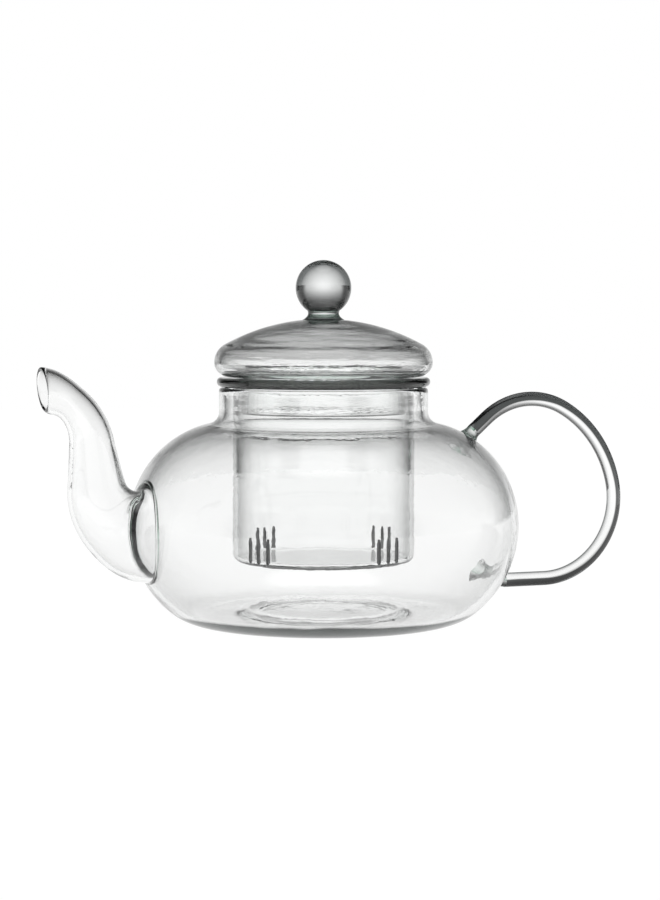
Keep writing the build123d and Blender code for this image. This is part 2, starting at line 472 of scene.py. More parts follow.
def grid_faces(rows: int, columns: int, wrap_rows: bool = False) -> np.ndarray:
    """Four-cornered faces of a grid of points whose columns run round in a ring.

    Args:
        rows: how many rows of points.
        columns: how many points go round.
        wrap_rows: whether the last row joins the first.

    Returns:
        (faces, 4) numbers of the points, counted row by row.
    """
    last = rows if wrap_rows else rows - 1
    row, column = np.meshgrid(np.arange(last), np.arange(columns), indexing="ij")
    below, here, after = (row + 1) % rows, column, (column + 1) % columns
    corners = [
        row * columns + here,
        row * columns + after,
        below * columns + after,
        below * columns + here,
    ]
    return np.stack([corner.ravel() for corner in corners], axis=1)


def put_mesh(
    name: str,
    points: np.ndarray,
    faces: np.ndarray,
    kinds: np.ndarray | None,
    finish: GlassFinish,
    sharp: float = 50.0,
    outer: np.ndarray | None = None,
) -> bpy.types.Object:
    """Makes a closed, smooth glass piece.

    Points that coincide are made one, faces that shrink to a line are dropped, and all
    faces are turned outwards by the sign of the volume they enclose.

    Args:
        name: the piece's name.
        points: (n, 3) places in millimetres.
        faces: (m, 4) corners.
        kinds: (m,) Face values, or true where a face is a joint, or None.
        finish: the glass.
        sharp: faces that meet at more than this angle, in degrees, keep their edge.
        outer: (n,) how far each point is on the outer side of a bend, or None.

    Returns:
        The new object, in the scene.
    """
    slots = np.zeros(len(faces), int) if kinds is None else kinds.astype(int)
    _, first, back = np.unique(
        np.round(points * 1e5).astype(np.int64), axis=0, return_index=True, return_inverse=True
    )
    places, faces = points[first] * MM, back.reshape(-1)[faces]
    corner = places[faces]
    volume = np.einsum(
        "ij,ij->i", corner[:, 0], np.cross(corner[:, 1], corner[:, 2])
    ) + np.einsum("ij,ij->i", corner[:, 0], np.cross(corner[:, 2], corner[:, 3]))
    if volume.sum() < 0:
        faces = faces[:, ::-1]
    keep = faces != np.roll(faces, -1, axis=1)
    full, pointed = keep.sum(1) == 4, keep.sum(1) == 3
    triangles = faces[pointed][keep[pointed]].reshape(-1, 3)
    mesh = bpy.data.meshes.new(name)
    mesh.from_pydata(places.tolist(), [], faces[full].tolist() + triangles.tolist())
    for kind, make in zip(Face, (finish.material, finish.joint, finish.sawn)):
        if kind.value <= slots.max():
            mesh.materials.append(make())
    mesh.polygons.foreach_set("material_index", np.concatenate([slots[full], slots[pointed]]))
    mesh.polygons.foreach_set("use_smooth", np.ones(len(mesh.polygons), bool))
    mesh.set_sharp_from_angle(angle=math.radians(sharp))
    if outer is not None:
        mesh.attributes.new(OUTER_SIDE, "FLOAT", "POINT").data.foreach_set("value", outer[first])
    mesh.update()
    made = bpy.data.objects.new(name, mesh)
    bpy.context.scene.collection.objects.link(made)
    return made


def settle(piece: bpy.types.Object, body: str, *nodes: str) -> None:
    """Makes a piece ride a body and stand for its nodes."""
    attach(piece, body)
    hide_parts(*nodes)
    log.info("%s: %d faces, rides %s", piece.name, len(piece.data.polygons), body)


def about_axis(radius: np.ndarray, turn: np.ndarray, height: np.ndarray) -> np.ndarray:
    """Points (r cos a, r sin a, z) about the pot's axis.

    Args:
        radius: radii, one to a row.
        turn: angles in radians, one to a column, or a whole grid.
        height: heights, one to a row.

    Returns:
        (n, 3) points, row by row.
    """
    x, y = radius * np.cos(turn), radius * np.sin(turn)
    return np.stack([x, y, height + 0 * turn], axis=-1).reshape(-1, 3)


def turned(
    name: str,
    profile: np.ndarray,
    melted: np.ndarray | None,
    finish: GlassFinish,
    around: int = 224,
    ring: bool = False,
) -> bpy.types.Object:
    """A piece turned about the pot's axis.

    The surface is (r cos a, r sin a, z) for each profile point (r, z) and each angle a.

    Args:
        name: the piece's name.
        profile: (n, 2) radius and height, in millimetres.
        melted: (n,) true where the run after a profile point is a joint, or None.
        finish: the glass.
        around: how many angles.
        ring: whether the profile is a closed loop clear of the axis.

    Returns:
        The new object.
    """
    angle = np.linspace(0, 2 * np.pi, around, endpoint=False)
    points = about_axis(profile[:, :1], angle, profile[:, 1:])
    faces = grid_faces(len(profile), around, ring)
    joints = None
    if melted is not None:
        rows = melted if ring else melted[:-1]
        joints = np.repeat(rows, around)
    return put_mesh(name, points, faces, joints, finish)


# ------------------------------------------------------------------ pot body
@dataclass
class PotBody:
    """The round-bellied shell, its neck and the opening that the spout is melted into.

    The profile is foot, heel arc, lower belly arc, upper belly arc, neck fillet and neck.
    Each run has the same share of the parameter on the outer and the inner skin.
    """

    widest_height: float = 32.3
    foot_inset: float = 24.8
    heel_radius: float = 18.0
    upper_belly_radius: float = 34.4
    neck_radius: float = 34.6
    neck_fillet: float = 4.0
    wall: float = 2.4
    kick_radius: float = 33.0
    kick_depth: float = 0.9
    floor_ring_radius: float = 25.0
    floor_ring_height: float = 0.7
    floor_ring_width: float = 3.0
    floor_share: float = 0.35
    belly_share: float = 0.25
    run_points: int = 400
    samples: int = 4001
    columns: int = 240
    rows: int = 150
    patch_columns: int = 32
    patch_reach: float = 23.0
    patch_rings: int = 14

    def __post_init__(self) -> None:
        """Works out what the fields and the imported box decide."""
        self.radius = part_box("pot_upper_belly")[1].y / MM
        self.rim_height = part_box("pot_neck")[1].z / MM
        self.foot_radius = self.radius - self.foot_inset
        over_heel = self.widest_height - self.heel_radius
        self.lower_radius = (self.foot_inset**2 + over_heel**2 - self.heel_radius**2) / (
            2 * (self.foot_inset - self.heel_radius)
        )
        self.lower_x = self.radius - self.lower_radius
        self.upper_x = self.radius - self.upper_belly_radius
        self.fillet_x = self.neck_radius + self.neck_fillet
        self.fillet_z = self.widest_height + math.sqrt(
            (self.upper_belly_radius + self.neck_fillet) ** 2
            - (self.fillet_x - self.upper_x) ** 2
        )
        self.heel_turn = math.degrees(math.atan2(-over_heel, self.foot_radius - self.lower_x))
        self.neck_turn = math.degrees(
            math.atan2(self.fillet_z - self.widest_height, self.fillet_x - self.upper_x)
        )
        self.share = np.linspace(0, 1, self.samples)
        self.table = {grow: self.dense(grow) for grow in (0.0, -self.wall)}

    def dense(self, grow: float) -> np.ndarray:
        """The profile as many points at even shares of the outer skin's length.

        Args:
            grow: 0 for the outer skin, minus the wall for the inner one.

        Returns:
            (samples, 2) radius and height.
        """
        n, neck, rim_middle = self.run_points, self.neck_radius + grow, self.rim_height - self.wall / 2
        runs = [
            line((0, -grow), (self.foot_radius, -grow), n),
            arc((self.foot_radius, self.heel_radius), self.heel_radius + grow, -90, self.heel_turn, n),
            arc((self.lower_x, self.widest_height), self.lower_radius + grow, self.heel_turn, 0, n),
            arc((self.upper_x, self.widest_height), self.upper_belly_radius + grow, 0, self.neck_turn, n),
            arc((self.fillet_x, self.fillet_z), self.neck_fillet - grow, 180 + self.neck_turn, 180, n),
            line((neck, self.fillet_z), (neck, rim_middle), n),
        ]
        lengths = np.array(
            [
                self.foot_radius,
                math.radians(self.heel_turn + 90) * self.heel_radius,
                math.radians(-self.heel_turn) * self.lower_radius,
                math.radians(self.neck_turn) * self.upper_belly_radius,
                math.radians(self.neck_turn) * self.neck_fillet,
                rim_middle - self.fillet_z,
            ]
        )
        ends = np.concatenate([[0], np.cumsum(lengths)]) / lengths.sum()
        where = np.concatenate([np.linspace(a, b, n) for a, b in zip(ends, ends[1:])])
        points = np.vstack(runs)
        return np.column_stack([np.interp(self.share, where, points[:, k]) for k in (0, 1)])

    def skin(self, turn: np.ndarray, share: np.ndarray, grow: float) -> np.ndarray:
        """Points of a skin.

        The underside is pushed up inside the foot ring by kick_depth * (1 - (r/kick)^2)^2,
        and the floor inside carries a soft ring.

        Args:
            turn: angles about the axis, in radians, from the spout's side.
            share: places along the profile, from 0 to 1.
            grow: which skin.

        Returns:
            Points with the shape of turn and a last axis of 3.
        """
        table = self.table[grow]
        radius = np.interp(share, self.share, table[:, 0])
        height = np.interp(share, self.share, table[:, 1])
        near = np.clip(1 - (radius / self.kick_radius) ** 2, 0, None)
        height = height + self.kick_depth * near**2
        if grow < 0:
            off = (radius - self.floor_ring_radius) / self.floor_ring_width
            height = height + self.floor_ring_height * np.exp(-(off**2)) * (share < self.floor_share)
        return np.stack([-radius * np.cos(turn), radius * np.sin(turn), height], axis=-1)

    def share_at(self, height: np.ndarray, grow: float) -> np.ndarray:
        """The share along the belly at which a skin has a height."""
        table = self.table[grow]
        belly = self.share > self.belly_share
        return np.interp(height, table[belly, 1], self.share[belly])

    def opening(
        self, around: np.ndarray, axis_height: float, radius: float, grow: float
    ) -> tuple[np.ndarray, np.ndarray]:
        """Where a level round hole about the spout's axis meets a skin.

        Args:
            around: angles about the spout's axis, from straight up, in radians.
            axis_height: the spout axis's height.
            radius: the hole's radius.
            grow: which skin.

        Returns:
            (turn, share) arrays of the loop's points.
        """
        side = radius * np.sin(around)
        share = self.share_at(axis_height + radius * np.cos(around), grow)
        out = np.interp(share, self.share, self.table[grow][:, 0])
        return np.arcsin(side / out), share

    def patch_frame(self, axis_height: float) -> tuple[np.ndarray, ...]:
        """The rectangle of grid points around the spout's opening.

        Args:
            axis_height: the spout axis's height.

        Returns:
            (turns, shares, row and column numbers of the rectangle's edge in order, and the
            angle about the spout's axis of each edge point).
        """
        turns = np.arange(self.columns) * 2 * np.pi / self.columns - np.pi
        shares = np.linspace(0, 1, self.rows)
        table = self.table[0.0]
        length = np.linalg.norm(np.diff(table, axis=0), axis=1).sum()
        middle = float(self.share_at(np.array(axis_height), 0.0))
        low = int(np.argmin(abs(shares - (middle - self.patch_reach / length))))
        high = int(np.argmin(abs(shares - (middle + self.patch_reach / length))))
        left = self.columns // 2 - self.patch_columns // 2
        right = self.columns // 2 + self.patch_columns // 2
        wide, tall = right - left, high - low
        up, across = np.arange(low, high), np.arange(left, right)
        row = np.concatenate([np.full(wide, high), up[::-1] + 1, np.full(wide, low), up])
        column = np.concatenate([across, np.full(tall, right), across[::-1] + 1, np.full(tall, left)])
        around = np.arctan2(self.radius * turns[column], (shares[row] - middle) * length)
        return turns, shares, row, column, around

    def build(self, spout: "Spout", finish: GlassFinish) -> bpy.types.Object:
        """Makes the closed shell.

        The outer and inner skins are grids of (turn, share).  The rectangle of cells at the
        spout is left out of each and filled by rings that pass from its edge to the round
        opening, straight in (turn, share).  The rim is half a circle, and the opening's wall,
        inside the spout's melted root, is a joint.

        Args:
            spout: the spout, for its axis and radii.
            finish: the glass.

        Returns:
            The new object.
        """
        turns, shares, row, column, around = self.patch_frame(spout.axis_height)
        rows, columns, edge = self.rows, self.columns, len(row)
        grid_turn, grid_share = np.meshgrid(turns, shares)
        faces = grid_faces(rows, columns)
        cell_row, cell_column = np.divmod(np.arange(len(faces)), columns)
        inside = (cell_row >= row.min()) & (cell_row < row.max())
        inside &= (cell_column >= column.min()) & (cell_column < column.max())
        points, all_faces, count, start, loops = [], [], 0, {}, {}
        for grow, hole in ((0.0, spout.root_radius), (-self.wall, spout.root_radius - spout.wall)):
            skin = self.skin(grid_turn, grid_share, grow).reshape(-1, 3)
            hole_turn, hole_share = self.opening(around, spout.axis_height, hole, grow)
            step = np.linspace(0, 1, self.patch_rings + 1)[1:, None]
            ring_turn = (1 - step) * turns[column] + step * hole_turn
            ring_share = (1 - step) * shares[row] + step * hole_share
            rings = self.skin(ring_turn, ring_share, grow).reshape(-1, 3)
            ring_faces = grid_faces(self.patch_rings + 1, edge)[:, ::-1]
            number = np.concatenate([row * columns + column, rows * columns + np.arange(len(rings))])
            both = np.vstack([faces[~inside], number[ring_faces]])
            if grow < 0:
                both = both[:, ::-1]
            start[grow] = count
            loops[grow] = count + rows * columns + (self.patch_rings - 1) * edge + np.arange(edge)
            points += [skin, rings]
            all_faces.append(both + count)
            count += len(skin) + len(rings)
        outer_rim = start[0.0] + (rows - 1) * columns + np.arange(columns)
        inner_rim = start[-self.wall] + (rows - 1) * columns + np.arange(columns)
        bend = np.linspace(0, np.pi, 9)[1:-1, None]
        radius = self.neck_radius - self.wall / 2 + self.wall / 2 * np.cos(bend)
        height = self.rim_height - self.wall / 2 + self.wall / 2 * np.sin(bend)
        lip = about_axis(radius, turns, height) * MIRROR
        lip_numbers = np.concatenate([outer_rim, count + np.arange(len(lip)), inner_rim])
        all_faces.append(lip_numbers[grid_faces(9, columns)])
        points.append(lip)
        wall = np.concatenate([loops[0.0], loops[-self.wall]])[grid_faces(2, edge)[:, ::-1]]
        joints = np.zeros(sum(len(f) for f in all_faces) + len(wall), bool)
        joints[-len(wall) :] = True
        all_faces.append(wall)
        return put_mesh("glass_pot_body", np.vstack(points), np.vstack(all_faces), joints, finish)


# ------------------------------------------------------------------ tubes along a route
@dataclass(frozen=True)
class Bend:
    """One run of a route: straight if the radius is None, else an arc."""

    length: float
    radius: float | None = None
    turn: float = 0.0


def follow(
    start: tuple[float, float], heading: float, runs: list[Bend], step: float
) -> tuple[np.ndarray, np.ndarray, list[float]]:
    """Walks a route of straight runs and arcs that meet tangent.

    Args:
        start: the first point, sideways and up.
        heading: the first direction above level, in degrees.
        runs: the runs; an arc's turn in degrees is positive to the left.
        step: the distance between points.

    Returns:
        (points (n, 2), headings (n,) in radians, each run's end along the route).
    """
    places, ways, ends, travelled = [np.array([start])], [np.radians([heading])], [], 0.0
    here, way = np.array(start, float), math.radians(heading)
    for run in runs:
        turn = math.radians(run.turn)
        length = run.length if run.radius is None else abs(turn) * run.radius
        count = max(2, math.ceil(length / step))
        along = np.linspace(0, 1, count + 1)[1:]
        headings = way + turn * along
        if run.radius is None:
            moved = along[:, None] * length * np.array([math.cos(way), math.sin(way)])
        else:
            side = math.copysign(run.radius, turn)
            moved = side * np.column_stack(
                [np.sin(headings) - math.sin(way), math.cos(way) - np.cos(headings)]
            )
        places.append(here + moved)
        ways.append(headings)
        here, way = here + moved[-1], way + turn
        travelled += length
        ends.append(travelled)
    return np.vstack(places), np.concatenate(ways), ends


def smooth_through(where: np.ndarray, knots: np.ndarray, values: np.ndarray) -> np.ndarray:
    """A smooth curve through values at knots.

    Each span is a cubic whose end slopes are the mean of the neighbouring spans' slopes, or
    none where the values turn and at the ends.

    Args:
        where: places to work out.
        knots: rising places of the given values.
        values: the values there.

    Returns:
        The curve's value at each place.
    """
    knots, values = np.asarray(knots, float), np.asarray(values, float)
    slope = np.diff(values) / np.diff(knots)
    inner = np.where(slope[1:] * slope[:-1] > 0, (slope[1:] + slope[:-1]) / 2, 0)
    slopes = np.concatenate([[0], inner, [0]])
    span = np.clip(np.searchsorted(knots, where) - 1, 0, len(knots) - 2)
    width = knots[span + 1] - knots[span]
    t = (where - knots[span]) / width
    return (
        (2 * t**3 - 3 * t**2 + 1) * values[span]
        + (t**3 - 2 * t**2 + t) * width * slopes[span]
        + (3 * t**2 - 2 * t**3) * values[span + 1]
        + (t**3 - t**2) * width * slopes[span + 1]
    )


def rings_along(
    centres: np.ndarray,
    ways: np.ndarray,
    radii: np.ndarray,
    around: np.ndarray,
    egg: np.ndarray | float = 0.0,
) -> np.ndarray:
    """Rings of points square to a route in the plane y = 0.

    Each ring is centre + radius * (cos a * up + sin a * (1 - egg * cos a) / (1 + 0.3 egg)
    * y), with up square to the heading, so an egg above 0 is fuller on the side away from up.

    Args:
        centres: (n, 2) sideways and up.
        ways: (n,) headings in radians.
        radii: (n,) ring radii.
        around: (m,) angles.
        egg: how egg-shaped each ring is, (n, 1) or one number.

    Returns:
        (n, m, 3) points with x to the side.
    """
    up = np.column_stack([-np.sin(ways), np.cos(ways)])
    spread = radii[:, None] * np.cos(around)
    x = centres[:, :1] + spread * up[:, :1]
    z = centres[:, 1:] + spread * up[:, 1:]
    y = radii[:, None] * np.sin(around) * (1 - egg * np.cos(around)) / (1 + 0.3 * egg)
    return np.stack([x, y, z], axis=-1)


@dataclass
class Spout:
    """The bent, tapering spout, from the opening in the belly to its lip."""

    widest_height: float
    body_radius: float
    root_drop: float = 0.6
    root_radius: float = 16.3
    bend_mid_radius: float = 12.3
    knee_radius: float = 9.4
    throat_radius: float = 7.2
    waist_radius: float = 5.9
    waist_share: float = 0.6
    mouth_radius: float = 7.3
    wall: float = 1.3
    bend_radius: float = 17.0
    bend_angle: float = 84.0
    rise: float = 14.3
    crook_radius: float = 19.5
    crook_angle: float = 72.0
    mouth_lean: float = -6.0
    root_sink: float = 3.7
    root_fade: float = 7.0
    bead_radius: float = 0.6

    def __post_init__(self) -> None:
        """Sets the root's place from the pot body."""
        self.axis_height = self.widest_height - self.root_drop
        self.root_reach = self.body_radius - self.root_sink

    def tube(self, around: np.ndarray, inset: float) -> tuple[np.ndarray, np.ndarray]:
        """Rings of the spout's skin, drawn in by an amount.

        Args:
            around: angles about the axis.
            inset: 0 for the outer skin, the wall for the bore.

        Returns:
            (n, m, 3) points, with x measured out from the pot's axis, and each ring's distance
            along the route.
        """
        runs = [
            Bend(0, self.bend_radius, self.bend_angle),
            Bend(self.rise),
            Bend(0, self.crook_radius, -self.crook_angle),
        ]
        centres, ways, ends = follow((self.root_reach, self.axis_height), 0.0, runs, 0.7)
        along = np.concatenate([[0], np.cumsum(np.linalg.norm(np.diff(centres, axis=0), axis=1))])
        along *= ends[-1] / along[-1]
        bend_end, crook_start, end = ends
        waist = crook_start + self.waist_share * (end - crook_start)
        knots = np.array([0, bend_end / 2, bend_end, crook_start, waist, end])
        values = [self.root_radius, self.bend_mid_radius, self.knee_radius]
        values += [self.throat_radius, self.waist_radius, self.mouth_radius]
        radii = smooth_through(along, knots, np.array(values))
        lean = math.radians(self.mouth_lean) - ways[-1]
        ways = ways + lean * np.clip((along - ends[1]) / (ends[2] - ends[1]), 0, 1) ** 3
        return rings_along(centres, ways, radii - inset, around), along

    def build(self, pot: PotBody, finish: GlassFinish) -> list[bpy.types.Object]:
        """Makes the spout and the bead of melted glass round its root.

        The first ring of each skin is the loop where it meets the pot's skin; the difference
        to the plain tube fades away along root_fade.  The lip is half a circle between the
        skins.

        Args:
            pot: the pot body.
            finish: the glass.

        Returns:
            The spout and its seam bead.
        """
        around = pot.patch_frame(self.axis_height)[4]
        skins, loops = [], []
        for grow, inset in ((0.0, 0.0), (-pot.wall, self.wall)):
            rings, along = self.tube(around, inset)
            turn, share = pot.opening(around, self.axis_height, self.root_radius - inset, grow)
            loop = pot.skin(turn, share, grow) * MIRROR
            fade = np.clip(1 - along / self.root_fade, 0, 1)[:, None, None] ** 2
            skins.append(rings + (loop - rings[0]) * fade)
            loops.append(loop)
        outer, bore = skins
        middle, half = (outer[-1] + bore[-1]) / 2, (outer[-1] - bore[-1]) / 2
        ahead = outer[-1] - outer[-2]
        ahead = ahead.mean(0) / np.linalg.norm(ahead.mean(0)) * self.wall / 2
        bend = np.linspace(0, np.pi, 7)[1:-1, None, None]
        lip = middle + half * np.cos(bend) + ahead * np.sin(bend)
        shell = np.vstack([outer, lip, bore[::-1]])
        faces = grid_faces(len(shell), len(around), wrap_rows=True)
        joints = np.arange(len(faces)) >= (len(shell) - 1) * len(around)
        spout = put_mesh("glass_spout", shell.reshape(-1, 3) * MIRROR, faces, joints, finish)
        turn = np.linspace(0, 2 * np.pi, 12, endpoint=False)[:, None, None]
        away = np.stack([0 * around, np.sin(around), np.cos(around)], axis=-1)
        out = np.array([1.0, 0, 0])
        bead = loops[0] + self.bead_radius * (np.cos(turn) * out + np.sin(turn) * away)
        seam = put_mesh(
            "glass_spout_seam",
            bead.reshape(-1, 3) * MIRROR,
            grid_faces(len(turn), len(around), wrap_rows=True),
            None,
            finish,
        )
        return [spout, seam]


@dataclass
class Handle:
    """A solid rod bent to an ear, with a melted pad at each end."""

    pot: PotBody
    rod_radius: float = 2.45
    upper_pad_angle: float = 51.0
    upper_pad_length: float = 4.2
    upper_pad_radius: float = 5.0
    heading: float = 41.5
    start_length: float = 6.1
    top_radius: float = 25.5
    top_angle: float = 70.5
    side_radius: float = 39.3
    side_angle: float = 48.5
    bottom_radius: float = 27.0
    lower_pad_rise: float = 1.9
    lower_pad_length: float = 7.2
    lower_pad_tilt: float = -18.0
    lower_pad_radius: float = 4.7
    flare: float = 2.2
    sink: float = 0.1
    egg: float = 0.55
    around: int = 64

    def rod(self) -> tuple[np.ndarray, np.ndarray]:
        """The rod's centre line and headings, from the upper pad to the lower one."""
        angle = math.radians(self.upper_pad_angle)
        reach = self.pot.upper_belly_radius + self.upper_pad_length
        start = (
            self.pot.upper_x + reach * math.cos(angle),
            self.pot.widest_height + reach * math.sin(angle),
        )
        bottom_angle = 180 + self.heading - self.top_angle - self.side_angle
        runs = [
            Bend(self.start_length),
            Bend(0, self.top_radius, -self.top_angle),
            Bend(0, self.side_radius, -self.side_angle),
            Bend(0, self.bottom_radius, -bottom_angle),
        ]
        centres, ways, _ = follow(start, self.heading, runs, 0.8)
        foot = self.lower_foot(centres[-1, 1])
        end = (foot[0] + self.lower_pad_length, centres[-1, 1])
        last = line(tuple(centres[-1]), end, 8)[1:]
        return np.vstack([centres, last]), np.concatenate([ways, np.full(len(last), ways[-1])])

    def lower_foot(self, rod_height: float) -> np.ndarray:
        """Where the lower pad's middle meets the belly."""
        height = rod_height + self.lower_pad_rise
        rise = height - self.pot.widest_height
        return np.array([self.pot.lower_x + math.sqrt(self.pot.lower_radius**2 - rise**2), height])

    def pad(
        self,
        name: str,
        start: tuple[np.ndarray, float],
        foot: tuple[np.ndarray, float],
        foot_radius: float,
        belly: tuple[float, float],
        finish: GlassFinish,
    ) -> bpy.types.Object:
        """A pad of melted glass from the rod's end to the belly.

        The radius is rod + (foot - rod) * t ** flare along the pad, and the last ring is
        pushed along the pad's way until it lies just inside the belly's skin.

        Args:
            name: the piece's name.
            start: the rod's end and the heading there.
            foot: the middle of the foot and the heading there.
            foot_radius: the foot's radius.
            belly: the middle and the radius of the belly's arc, sideways.
            finish: the glass.

        Returns:
            The new object.
        """
        t = np.linspace(0, 1, 22)[:, None]
        centres = start[0] * (1 - t) + foot[0] * t
        ways = start[1] + (foot[1] - start[1]) * t[:, 0]
        radii = self.rod_radius + (foot_radius - self.rod_radius) * t[:, 0] ** self.flare
        around = np.linspace(0, 2 * np.pi, self.around, endpoint=False)
        rings = rings_along(centres, ways, radii, around)
        way = np.array([math.cos(foot[1]), 0, math.sin(foot[1])])
        ring = rings[-1]
        shift = np.zeros(len(ring))
        for _ in range(4):
            moved = ring + shift[:, None] * way
            out = np.hypot(moved[:, 0], moved[:, 1]) - belly[0]
            gap = np.hypot(out, moved[:, 2] - self.pot.widest_height) - belly[1]
            shift += gap + self.sink
        rings = rings + t[:, :, None] ** 1.5 * shift[:, None] * way
        return self.capped(name, rings, finish)

    def capped(self, name: str, rings: np.ndarray, finish: GlassFinish) -> bpy.types.Object:
        """Closes a tube of rings, each started on its outer side, with a joint at each end."""
        first = np.repeat(rings[:1].mean(1, keepdims=True), rings.shape[1], axis=1)
        last = np.repeat(rings[-1:].mean(1, keepdims=True), rings.shape[1], axis=1)
        rows = np.vstack([first, rings, last])
        faces = grid_faces(len(rows), rings.shape[1])
        number = np.arange(len(faces)) // rings.shape[1]
        joints = (number == 0) | (number == len(rows) - 2)
        around = np.linspace(0, 2 * np.pi, rings.shape[1], endpoint=False)
        outer = np.tile(np.cos(around), len(rows))
        return put_mesh(name, rows.reshape(-1, 3), faces, joints, finish, outer=outer)

    def build(self, finish: GlassFinish, gob: GlassFinish) -> list[bpy.types.Object]:
        """Makes the rod and its two pads.

        Args:
            finish: the rod's glass.
            gob: the pads' glass.

        Returns:
            The rod, the upper pad and the lower pad.
        """
        centres, ways = self.rod()
        around = np.linspace(0, 2 * np.pi, self.around, endpoint=False)
        radii = np.full(len(centres), self.rod_radius)
        egg = self.egg * np.sin(np.linspace(0, np.pi, len(centres)))[:, None] ** 0.3
        rings = rings_along(centres, ways, radii, around, egg)
        rod = self.capped("glass_handle", rings, finish)
        angle = math.radians(self.upper_pad_angle)
        skin = self.pot.upper_belly_radius
        upper_foot = np.array(
            [self.pot.upper_x + skin * math.cos(angle), self.pot.widest_height + skin * math.sin(angle)]
        )
        upper = self.pad(
            "glass_handle_upper_pad",
            (centres[0], ways[0] + math.pi),
            (upper_foot, angle + math.pi),
            self.upper_pad_radius,
            (self.pot.upper_x, self.pot.upper_belly_radius),
            gob,
        )
        lower = self.pad(
            "glass_handle_lower_pad",
            (centres[-1], ways[-1]),
            (self.lower_foot(centres[-1, 1]), -math.pi + math.radians(self.lower_pad_tilt)),
            self.lower_pad_radius,
            (self.pot.lower_x, self.pot.lower_radius),
            gob,
        )
        return [rod, upper, lower]


